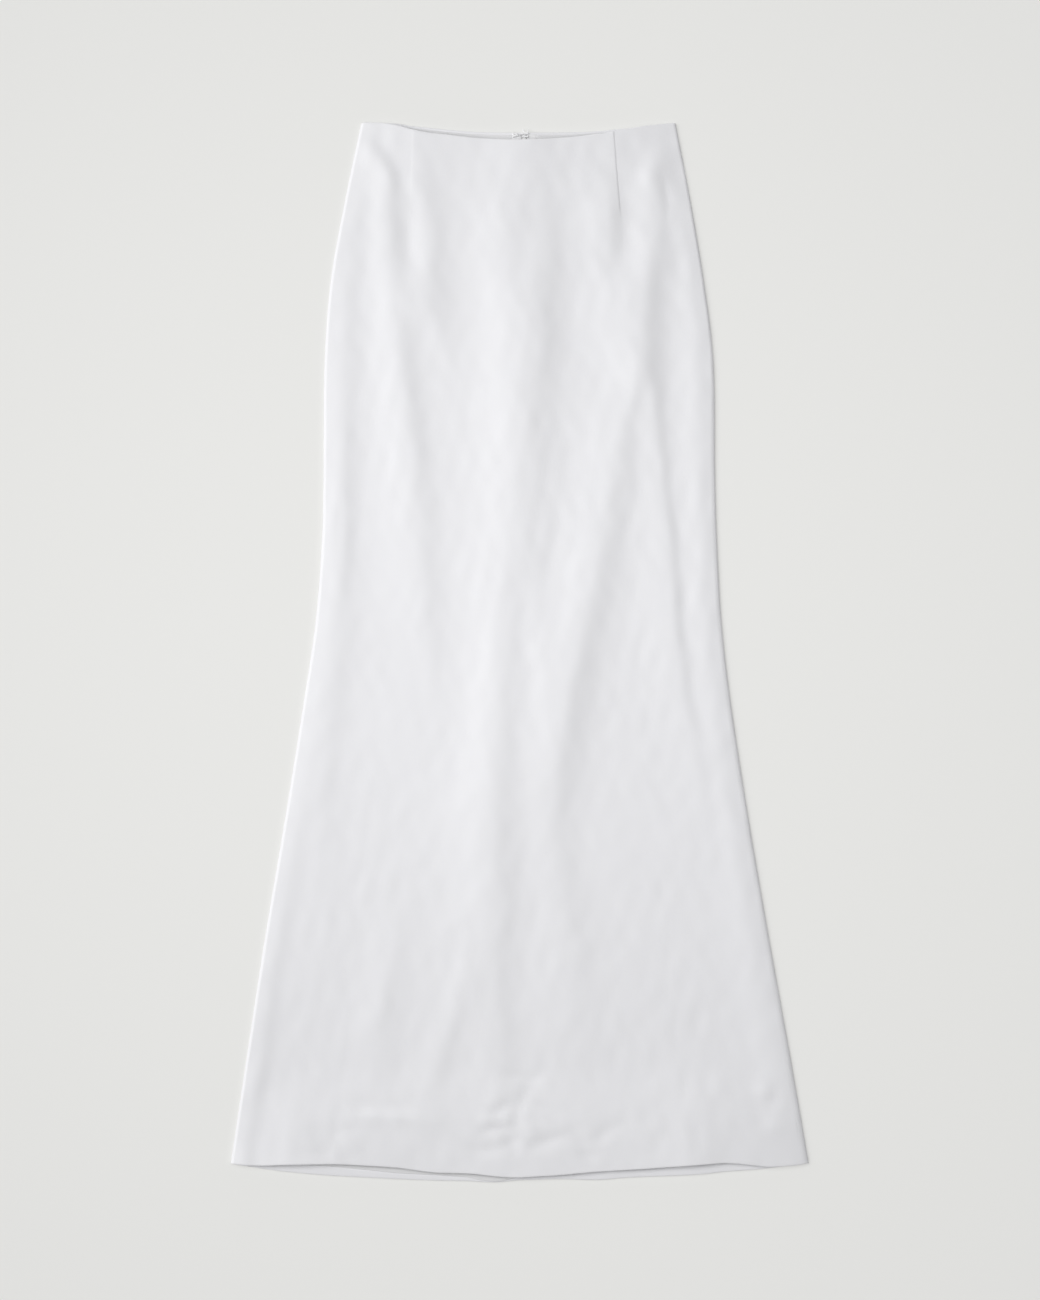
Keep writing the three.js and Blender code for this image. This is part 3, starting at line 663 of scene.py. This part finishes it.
def front_columns():
    """The front's columns from left to right, as (kind, share), and the darts' own shares.

    A share runs from 0 to 1 over each kind of column, but from -1 to 1 over the panel.
    """
    columns = [("under", share) for share in (0.0, 0.35, 0.6, 0.8, 0.9)]
    columns += [("left roll", share) for share in np.linspace(0, 1, 13)]
    panel, darts = list(np.linspace(-1, 1, 112)[1:-1]), []
    inner_left = SIDE_ROLL - left_half(DART_DOWN)
    inner_right = right_half(DART_DOWN) - right_roll(DART_DOWN)
    for line in dart_lines:
        dart = 2 * (float(line(DART_DOWN)) - inner_left) / (inner_right - inner_left) - 1
        panel = [share for share in panel if abs(share - dart) > 0.02]
        panel += [dart + away / PANEL_HALF for away in DART_COLUMNS]
        darts.append(dart)
    columns += [("panel", share) for share in sorted(panel)]
    columns += [("right roll", share) for share in np.linspace(0, 1, 12)]
    return columns, darts


FRONT_COLUMNS, dart_shares = front_columns()


def front_place(kind, share, down):
    """x and height of the front's outside at one column, for any distances down."""
    left, right = left_half(down), right_half(down)
    if kind == "under":
        # from the seam below, outwards, and up to the edge
        lowest, flat = 0.03, 0.7
        if share < flat:
            return -left + mix(3.6, EDGE_UP, share / flat), lowest
        angle = (share - flat) / (1 - flat) * math.pi / 2
        return (-left + EDGE_UP * (1 - math.sin(angle)),
                lowest + (EDGE_UP - lowest) * (1 - math.cos(angle)))
    if kind == "left roll":
        angle = share * math.pi / 2
        x = -left + SIDE_ROLL * (1 - math.cos(angle))
        return x, EDGE_UP + (front_top(x, down) - EDGE_UP) * math.sin(angle)
    if kind == "right roll":
        seam = np.arccos(1 - (back_shows(down) + SEAM_AIR) / right_roll(down))
        angle = mix(math.pi / 2, seam, share)
        x = right - right_roll(down) * (1 - np.cos(angle))
        return x, EDGE_UP + (front_top(x, down) - EDGE_UP) * np.sin(angle)
    x = mix(-left + SIDE_ROLL, right - right_roll(down), (share + 1) / 2)
    # Near a dart the columns bend to follow it.
    for line, cut, dart in zip(dart_lines, DARTS, dart_shares):
        plain = mix(-left + SIDE_ROLL, right - right_roll(down), (dart + 1) / 2)
        fading = 1 - eased(down, cut["end"] + 10, cut["end"] + 200)
        near = math.exp(-((share - dart) / 0.07) ** 2)
        x = x + (line(down) - plain) * fading * near
    return x, front_top(x, down)


def front_tightness(kind, share):
    """A column's share of the rounding at the waist and hem, less where the cloth rolls over."""
    if kind == "panel":
        return 1.0
    if kind == "under":
        return ROLLED_TIGHT
    onto_panel = share if kind == "left roll" else 1 - share
    return ROLLED_TIGHT + (1 - ROLLED_TIGHT) * eased(onto_panel, 0.2, 0.9)


def front_cloth():
    # The rows are closest at both edges, and close over the crumpled hem.
    downs = [0, 1.5, 3, 5, 8]
    downs += list(np.arange(11.5, 130, 3.5)) + list(np.arange(130, 1108, 4.6))
    downs += list(np.arange(1108, 1154, 3.3)) + [1155.5, 1158, 1160, 1161.5, LENGTH]
    shares = np.array(downs) / LENGTH
    columns = []
    for kind, share in FRONT_COLUMNS:
        at_waist, at_hem = front_place(kind, share, np.array([0.0, LENGTH]))[0]
        top, bottom = front_waist(at_waist) + FRONT_ROUNDING, front_hem(at_hem) - FRONT_ROUNDING
        down = mix(top, bottom, shares)
        x, height = front_place(kind, share, down)
        columns.append(column_points(x, down, height))
    tight = np.array([front_tightness(kind, share) for kind, share in FRONT_COLUMNS])
    return folded_cloth(columns, tight, FRONT_ROUNDING, FRONT_TURN_IN, FRONT_TURN_IN, CLOTH)


wear(cloth_shell("front", *front_cloth()), satin, ["front_panel"])


def front_facing(name, edge_line, into, depth, node):
    """A facing inside the front, hung below its top.

    into is 1 where it runs down from the waist, and -1 where it runs up from the hem.
    """
    downs = np.array([0, 1, 3, 6, 12, 20, 30, 38, 39.4, 40]) / 40 * (depth - FACING_TURNINGS)
    columns = []

    def across(share, down):
        left = -left_half(down) + FRONT_FACING_MARGIN
        return mix(left, right_half(down) - FRONT_FACING_MARGIN - back_shows(down), share)

    for share in np.linspace(0, 1, 90):
        start = edge_line(across(share, 0.0 if into > 0 else LENGTH)) + into * FACING_AIR
        down = start + into * downs
        x = across(share, down)
        columns.append(column_points(x, down, front_top(x, down) - FACING_BELOW))
    grid = np.stack(columns[::-1], axis=1)[::into]
    wear(cloth_shell(name, grid, FACING_CLOTH), satin_back_with_painted_shade, [node])


front_facing("front_waist_facing_cloth", front_waist, 1, FACING_DEPTH, "front_waist_facing")
front_facing("front_hem_facing_cloth", front_hem, -1, HEM_DEPTH, "front_hem_facing")


# ---- The backs ----


def centre_edge(down):
    """How far each back's centre edge is from the seam, which parts above the zip's slider."""
    return 0.3 + 0.55 * (1 - eased(down, 11, 36))


def back_columns(side):
    """A back's columns as (kind, share), from right to left. The wearer's left back rolls over."""
    if side < 0:
        return [("flat", share) for share in [0, 0.004, 0.012, *np.linspace(0.025, 0.985, 46), 1]]
    columns = [("over", share) for share in np.linspace(0, 1, 9)]
    columns += [("beneath", share) for share in (0.33, 0.67)]
    return columns + [("flat", share) for share in [*np.linspace(0, 0.975, 46), 0.988, 0.996, 1]]


def back_place(side, kind, share, down):
    """x and height of a back's outside, which is its underside. Columns run from right to left."""
    right = right_half(down)
    if kind == "over":
        seam = np.arccos(1 - (back_shows(down) - SEAM_AIR) / right_roll(down))
        angle = seam * (1 - share)
        x = right - right_roll(down) * (1 - np.cos(angle))
        return x, EDGE_UP + (front_top(x, down) - EDGE_UP) * np.sin(angle)
    if kind == "beneath":
        angle = (1 - share) * math.pi / 2
        return right - EDGE_UP * (1 - math.sin(angle)), EDGE_UP * (1 - math.cos(angle))
    centre = CENTRE_BACK + side * centre_edge(down)
    if side < 0:
        x = mix(centre, -left_half(down) + 4.1, share)
    else:
        x = mix(right - EDGE_UP, centre, share)
    return x, back_under(x, down) + back_hem_lift(x, down)


def back_tightness(side, kind, share):
    if kind != "flat":
        return ROLLED_TIGHT
    return ROLLED_TIGHT + (1 - ROLLED_TIGHT) * float(eased(share, 0, 0.03) if side > 0 else 1)


def back_half(side, hand):
    # The rows are closest at both edges.
    downs = [0, 1.5, 3, 5, 8]
    downs += list(np.arange(12, 130, 4)) + list(np.arange(130, 1120, 7.5))
    downs += [1128, 1138, 1148, 1155, 1159, 1161.5, LENGTH]
    shares = np.array(downs) / LENGTH
    columns, hem_depths, tight = [], [], []
    for kind, share in back_columns(side):
        at_waist, at_hem = back_place(side, kind, share, np.array([0.0, LENGTH]))[0]
        top, bottom = back_waist(at_waist) + BACK_ROUNDING, back_hem(at_hem) - BACK_ROUNDING
        down = mix(top, bottom, shares)
        x, height = back_place(side, kind, share, down)
        columns.append(column_points(x, down, height))
        tight.append(back_tightness(side, kind, share))
        to_facing = float(back_hem(at_hem) - back_facing_hem(at_hem))
        hem_depths.append(max(to_facing - BACK_ROUNDING, 0.2))
    cloth = folded_cloth(
        columns, np.array(tight), BACK_ROUNDING, BACK_TURN_IN, np.array(hem_depths), BACK_CLOTH,
    )
    wear(cloth_shell(f"back_{hand}", *cloth), satin, [f"back_panel_{hand}"])


def level_on_back(x, down):
    return ON_BACK


def lying_on_back(name, node, x_of, downs_of, columns, material, lift=level_on_back):
    """A strip of cloth on the inside of the back. Its seen side is its top."""
    parts = []
    for share in np.linspace(0, 1, columns):
        down = downs_of(share)
        x = x_of(share, down)
        height = back_under(x, down) + back_hem_lift(x, down) + lift(x, down) + FACING_CLOTH
        parts.append(column_points(x, down, height))
    wear(cloth_shell(name, np.stack(parts, axis=1), FACING_CLOTH), material, [node])


def across_back(side, inner, margin):
    """Where a facing's columns run: from inner out to a margin from the side, or the other way."""
    def x_of(share, down):
        outer = side * ((left_half(down) if side < 0 else right_half(down)) - margin)
        return mix(outer, inner, share) if side < 0 else mix(inner, outer, share)
    return x_of


def back_waist_facing(side, hand):
    x_of = across_back(
        side, CENTRE_BACK + side * (TAPE_INNER + TAPE_WIDTH + 0.3), BACK_WAIST_FACING_MARGIN,
    )

    def downs_of(share):
        edge = back_waist(x_of(share, np.array([0.0]))[0]) + 3.1
        return edge + np.array([0, 0.5, 1.5, 3, 6, 10, 16, 24, 32, 35.5, 36])

    lying_on_back(
        f"back_waist_facing_cloth_{hand}", f"back_waist_facing_{hand}", x_of, downs_of, 60,
        satin_back_with_painted_shade,
    )


def back_hem_facing(side, hand):
    x_of = across_back(side, CENTRE_BACK + side * 0.45, BACK_HEM_FACING_MARGIN)

    def downs_of(share):
        edge = back_facing_hem(x_of(share, np.array([LENGTH]))[0]) - 0.3
        return edge - np.array([46, 45.4, 40, 30, 20, 12, 7, 3.5, 1.6, 0.6, 0])

    def over_turn_up(x, down):
        return 1.1 + 0.75 * eased(down - back_facing_hem(x), -12, -2)

    lying_on_back(
        f"back_hem_facing_cloth_{hand}", f"back_hem_facing_{hand}", x_of, downs_of, 90,
        satin_back_with_painted_shade, over_turn_up,
    )


def zip_tape(side, hand):
    near, far = TAPE_INNER, TAPE_INNER + TAPE_WIDTH

    def x_of(share, down):
        reach = mix(far, near, share) if side < 0 else mix(near, far, share)
        return CENTRE_BACK + side * reach

    def downs_of(share):
        return np.linspace(13.4, ZIP_TOP + ZIP_LENGTH + 9, 60)

    lying_on_back(
        f"zip_tape_cloth_{hand}", f"zip_tape_{hand}", x_of, downs_of, 9, twill,
    )


for hand, side in (("right", -1), ("left", 1)):
    back_half(side, hand)
    back_waist_facing(side, hand)
    back_hem_facing(side, hand)
    zip_tape(side, hand)


# ---- What repeats along a line ----

STITCH_ARC = 2.0 * MM
STITCH_START, STITCH_SWEEP = math.radians(55), math.radians(70)
STITCH_SUNK = 0.92  # the share of the arc's radius that lies below the line
COIL_FLATNESS = 0.62
COIL_SPACING = 0.74


def line_object(name, points):
    """A chain of edges through points in millimetres, for a node tree to work on."""
    placed = to_frame(np.asarray(points, float))
    mesh = bpy.data.meshes.new(name)
    mesh.from_pydata(placed, [(i, i + 1) for i in range(len(placed) - 1)], [])
    return link_object(name, mesh)


def repeat_tree(name, material, ring):
    """A tree that sets stitches, or the rings of a coil, at even spacing along an object's edges."""
    tree = bpy.data.node_groups.new(name, "GeometryNodeTree")
    face = tree.interface
    face.new_socket("Geometry", in_out="INPUT", socket_type="NodeSocketGeometry")
    for label in ("Spacing", "Length", "Thickness", "Unevenness"):
        face.new_socket(label, in_out="INPUT", socket_type="NodeSocketFloat")
    face.new_socket("Seed", in_out="INPUT", socket_type="NodeSocketInt")
    face.new_socket("Geometry", in_out="OUTPUT", socket_type="NodeSocketGeometry")
    nodes, link = tree.nodes, tree.links.new
    given, result = nodes.new("NodeGroupInput"), nodes.new("NodeGroupOutput")
    path = nodes.new("GeometryNodeMeshToCurve")
    link(given.outputs["Geometry"], path.inputs["Mesh"])
    spots = nodes.new("GeometryNodeCurveToPoints")
    spots.mode = "LENGTH"
    link(path.outputs["Curve"], spots.inputs["Curve"])
    link(given.outputs["Spacing"], spots.inputs["Length"])
    section = add_node(tree, "GeometryNodeCurvePrimitiveCircle", Resolution=6)
    link(given.outputs["Thickness"], section.inputs["Radius"])
    swept = nodes.new("GeometryNodeCurveToMesh")
    link(section.outputs["Curve"], swept.inputs["Profile Curve"])
    if ring:
        loop = add_node(tree, "GeometryNodeCurvePrimitiveCircle", Resolution=12)
        shaped = add_node(tree, "GeometryNodeTransform", Scale=(1, COIL_FLATNESS, 1))
    else:
        loop = add_node(
            tree, "GeometryNodeCurveArc",
            Resolution=7, Start_Angle=STITCH_START, Sweep_Angle=STITCH_SWEEP,
        )
        shaped = add_node(
            tree, "GeometryNodeTransform",
            Translation=(0, STITCH_SUNK * STITCH_ARC, 0), Rotation=(0, -math.pi / 2, math.pi),
        )
        swept.inputs["Fill Caps"].default_value = True
    link(given.outputs["Length"], loop.inputs["Radius"])
    link(loop.outputs["Curve"], shaped.inputs["Geometry"])
    link(shaped.outputs["Geometry"], swept.inputs["Curve"])
    size = nodes.new("FunctionNodeRandomValue")
    size.data_type = "FLOAT"
    less = nodes.new("ShaderNodeMath")
    less.operation = "SUBTRACT"
    less.inputs[0].default_value = 1
    link(given.outputs["Unevenness"], less.inputs[1])
    link(less.outputs[0], size.inputs[2])  # inputs 2 and 3 are the lowest and the highest
    size.inputs[3].default_value = 1
    link(given.outputs["Seed"], size.inputs["Seed"])
    placed = nodes.new("GeometryNodeInstanceOnPoints")
    link(spots.outputs["Points"], placed.inputs["Points"])
    link(spots.outputs["Rotation"], placed.inputs["Rotation"])
    link(swept.outputs["Mesh"], placed.inputs["Instance"])
    link(size.outputs[1], placed.inputs["Scale"])
    real = nodes.new("GeometryNodeRealizeInstances")
    link(placed.outputs["Instances"], real.inputs["Geometry"])
    smooth = nodes.new("GeometryNodeSetShadeSmooth")
    link(real.outputs["Geometry"], smooth.inputs["Geometry"])
    painted = add_node(tree, "GeometryNodeSetMaterial", Material=material)
    link(smooth.outputs["Geometry"], painted.inputs["Geometry"])
    link(painted.outputs["Geometry"], result.inputs["Geometry"])
    return tree


def repeated(name, points, tree, values, material, replaced=()):
    """A piece made by a tree along a line, as a plain mesh."""
    line = line_object(name + "_line", points)
    modifier = line.modifiers.new("repeat", "NODES")
    modifier.node_group = tree
    for item in tree.interface.items_tree:
        if item.in_out == "INPUT" and item.name in values:
            modifier[item.identifier] = values[item.name]
    line.update_tag()
    mesh = plain_mesh(line)
    mesh.name = name
    wear(link_object(name, mesh), material, replaced)


stitch_tree = repeat_tree("stitches", thread, ring=False)
coil_tree = repeat_tree("coil", nylon, ring=True)


def understitching(side, hand):
    """A row of stitches along the back's facing, just under the waist edge."""
    x = CENTRE_BACK + side * np.linspace(15.5, 148, 120)
    down = back_waist(x) + 4.4
    height = back_under(x, down) + ON_BACK + FACING_CLOTH + 0.02
    values = {
        "Spacing": 2.9 * MM, "Length": STITCH_ARC, "Thickness": 0.17 * MM, "Unevenness": 0.12,
        "Seed": 4 + side,
    }
    repeated(
        f"understitching_{hand}", column_points(x, down, height), stitch_tree, values,
        thread,
    )


def coil_half(side, hand, replaced):
    """One half of the zip's coil. The wearer's left half sits half a tooth further down."""
    down = np.arange(ZIP_TOP, ZIP_TOP + ZIP_LENGTH, 1.0) + (COIL_SPACING / 2 if side > 0 else 0)
    x = np.full(down.shape, CENTRE_BACK + side * 1.05)
    height = back_under(x, down) + 1.85
    values = {
        "Spacing": COIL_SPACING * MM, "Length": 1.15 * MM, "Thickness": 0.2 * MM,
        "Unevenness": 0.03, "Seed": 8 + side,
    }
    repeated(
        f"zip_coil_{hand}", column_points(x, down, height), coil_tree, values,
        nylon, replaced,
    )


for hand, side in (("right", -1), ("left", 1)):
    understitching(side, hand)
    coil_half(side, hand, ["zip_chain"] if side > 0 else [])

# ---- Hook and eye, and the zip's hard parts ----

HOOK_LEG = [  # one of its two legs, out to the bend at the tip: x, half the width between, up
    (-8, 1.5, 0), (-5.4, 1.1, 0), (-3, 0.6, 0.2), (-0.8, 0.55, 1.2), (1, 0.5, 1.4), (1.7, 0, 1.3),
]
EYE_LEG = [(8.6, 1.8, 0), (5.6, 1.6, 0), (2.4, 1.3, 0), (0.8, 0.8, 0), (0.2, 0, 0)]
HOOK_X = CENTRE_BACK - 4.5
HOOK_DOWN = 14.4
WIRE_RADIUS = 0.36
HOOK_LASHED = (-7.6, -2.2)  # the lengths over which white stitches hold the hook and the eye
EYE_LASHED = (2.6, 9.9)
HOOK_UP = 2.3  # how far the wires lie above the back's underside
LASHING_STEP = 0.62
LASHING_RADIUS = 0.3
TAILS = [  # four ends of sewing thread that lie up over the edge by the eye: x, down, up
    [(6.0, 16.0, 2.4), (5.2, 14.6, 3.4), (4.4, 12.4, 3.7), (3.7, 9.8, 3.5), (3.3, 7.0, 2.8)],
    [(6.4, 16.0, 2.4), (5.8, 14.5, 3.5), (5.0, 12.3, 3.8), (4.5, 9.9, 3.5), (4.4, 7.9, 3.0)],
    [(6.6, 16.0, 2.4), (7.6, 14.4, 3.5), (8.2, 12.2, 3.8), (8.7, 9.8, 3.6), (8.5, 7.8, 3.0)],
    [(6.9, 16.0, 2.4), (8.1, 14.5, 3.4), (8.9, 12.3, 3.7), (9.3, 9.7, 3.5), (9.7, 7.3, 2.9)],
]
TAIL_RADIUS = 0.34


def rods(name, routes, radius):
    """Round wires or threads through points in millimetres, bent smoothly, as one mesh."""
    curve = bpy.data.curves.new(name, "CURVE")
    curve.dimensions = "3D"
    curve.bevel_depth = radius * MM
    curve.bevel_resolution = 3
    curve.use_fill_caps = True
    for points in routes:
        spline = curve.splines.new("NURBS")
        placed = to_frame(np.asarray(points, float))
        spline.points.add(len(placed) - 1)
        for point, place in zip(spline.points, placed):
            point.co = (*place, 1)
        spline.use_endpoint_u = True
        spline.order_u = 3
        spline.resolution_u = 6
    return link_object(name, plain_mesh(link_object(name + "_curve", curve)))


def lashings(span, leg_down, up):
    """Short stitches side by side over the two legs of a hook or an eye."""
    draw = np.random.default_rng(5)
    routes = []
    for x in np.arange(*span, LASHING_STEP):
        for side in (-1, 1):
            middle = HOOK_DOWN + side * leg_down(x)
            lean, shift = draw.uniform(0.1, 0.5), draw.uniform(-0.2, 0.2)
            routes.append([
                (x - lean, middle - 1.3 + shift, up - 0.5), (x - 0.6 * lean, middle - 0.8, up + 0.6),
                (x, middle, up + 0.85), (x + 0.6 * lean, middle + 0.8, up + 0.6),
                (x + lean, middle + 1.3 + shift, up - 0.5),
            ])
    return routes


on_tape = float(back_under(CENTRE_BACK, HOOK_DOWN)) + HOOK_UP
for node, leg in (("waist_hook", HOOK_LEG), ("waist_eye", EYE_LEG)):
    points = [(x, -half, up) for x, half, up in leg] + leg[-2::-1]
    route = [(HOOK_X + x, HOOK_DOWN + down, on_tape + up) for x, down, up in points]
    wear(rods(node + "_wire", [route], WIRE_RADIUS), wire, [node])
hook_stitches = lashings(HOOK_LASHED, lambda x: 0.55 - 0.19 * (x + 2.2), on_tape)
eye_stitches = lashings(EYE_LASHED, lambda x: 1.3 + 0.08 * (x - 2.6), on_tape)
wear(rods("hook_stitches", hook_stitches, LASHING_RADIUS), thread)
wear(rods("eye_stitches", eye_stitches, LASHING_RADIUS), thread)
wear(rods("thread_ends", TAILS, TAIL_RADIUS), thread)

for node in ("zip_slider", "zip_bottom_stop", "zip_pull_tab"):
    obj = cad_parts[node]
    obj.data.materials.clear()
    obj.data.materials.append(enamel)
    rounding = obj.modifiers.new("rounding", "BEVEL")
    rounding.width = 0.16 * MM
    rounding.segments = 2
    rounding.limit_method = "ANGLE"
    rounding.angle_limit = math.radians(35)

# ---- Camera, light and floor ----

FRAME_HEIGHT = 1.4534  # of what the camera takes in, at the skirt
SENSOR = 36.0
CAMERA_PLACE = (0.0003, 0.0028, 3.2)
OVERHEAD_PLACE, OVERHEAD_SIZE = (-0.16, 0.13, 1.25), (1.0, 0.9)
SUN_DIRECTION = (0.68, -0.19, -0.69)
FLOOR_Z = -0.0003


def camera_above():
    data = bpy.data.cameras.new("camera")
    data.sensor_width = SENSOR
    data.lens = SENSOR * CAMERA_PLACE[2] / FRAME_HEIGHT
    camera = link_object("camera", data)
    camera.location = CAMERA_PLACE
    bpy.context.scene.camera = camera


def overhead_light():
    """A large soft light straight above, a little to the left of the skirt."""
    data = bpy.data.lights.new("overhead", "AREA")
    data.shape = "RECTANGLE"
    data.size, data.size_y = OVERHEAD_SIZE
    data.energy = 5.6
    link_object("overhead", data).location = OVERHEAD_PLACE


def far_window():
    """Wide light from far off to the left, which gives the folds their shading."""
    data = bpy.data.lights.new("far_window", "SUN")
    data.energy = 2.42
    data.angle = math.radians(52)
    sun = link_object("far_window", data)
    sun.rotation_euler = Vector(SUN_DIRECTION).to_track_quat("-Z", "Y").to_euler()


def white_sky():
    world = bpy.data.worlds.new("studio")
    world.use_nodes = True
    sky = world.node_tree.nodes["Background"]
    sky.inputs["Color"].default_value = (1, 1, 1, 1)
    sky.inputs["Strength"].default_value = 0.1
    bpy.context.scene.world = world


def studio_floor():
    """A level floor that curves up into a low wall all round, far from the skirt."""
    level, rise, around = 9.0, 6.0, 96
    rings = [(radius, 0.0) for radius in (0.6, 2.5, 5.0, level)]
    for angle in np.radians(np.arange(6, 91, 6)):
        rings.append((level + rise * math.sin(angle), rise * (1 - math.cos(angle))))
    turns = np.linspace(0, 2 * math.pi, around, endpoint=False)
    vertices = [(0, 0, FLOOR_Z)]
    for radius, height in rings:
        vertices += [(radius * math.cos(t), radius * math.sin(t), FLOOR_Z + height) for t in turns]
    faces = [(0, 1 + k, 1 + (k + 1) % around) for k in range(around)]
    for ring in range(len(rings) - 1):
        near, far = 1 + ring * around, 1 + (ring + 1) * around
        for k in range(around):
            following = (k + 1) % around
            faces.append((near + k, far + k, far + following, near + following))
    floor = new_object("floor", vertices, faces)
    paint = new_material(
        "studio_floor", Base_Color=(0.40, 0.40, 0.392, 1), Emission_Color=(1, 1, 0.98, 1),
        Emission_Strength=0.405, Roughness=0.9, Specular_IOR_Level=0.1,
    )[0]
    floor.data.materials.append(paint)
    return floor


camera_above()
overhead_light()
far_window()
white_sky()
studio_floor()
bpy.context.scene.view_settings.view_transform = "Standard"
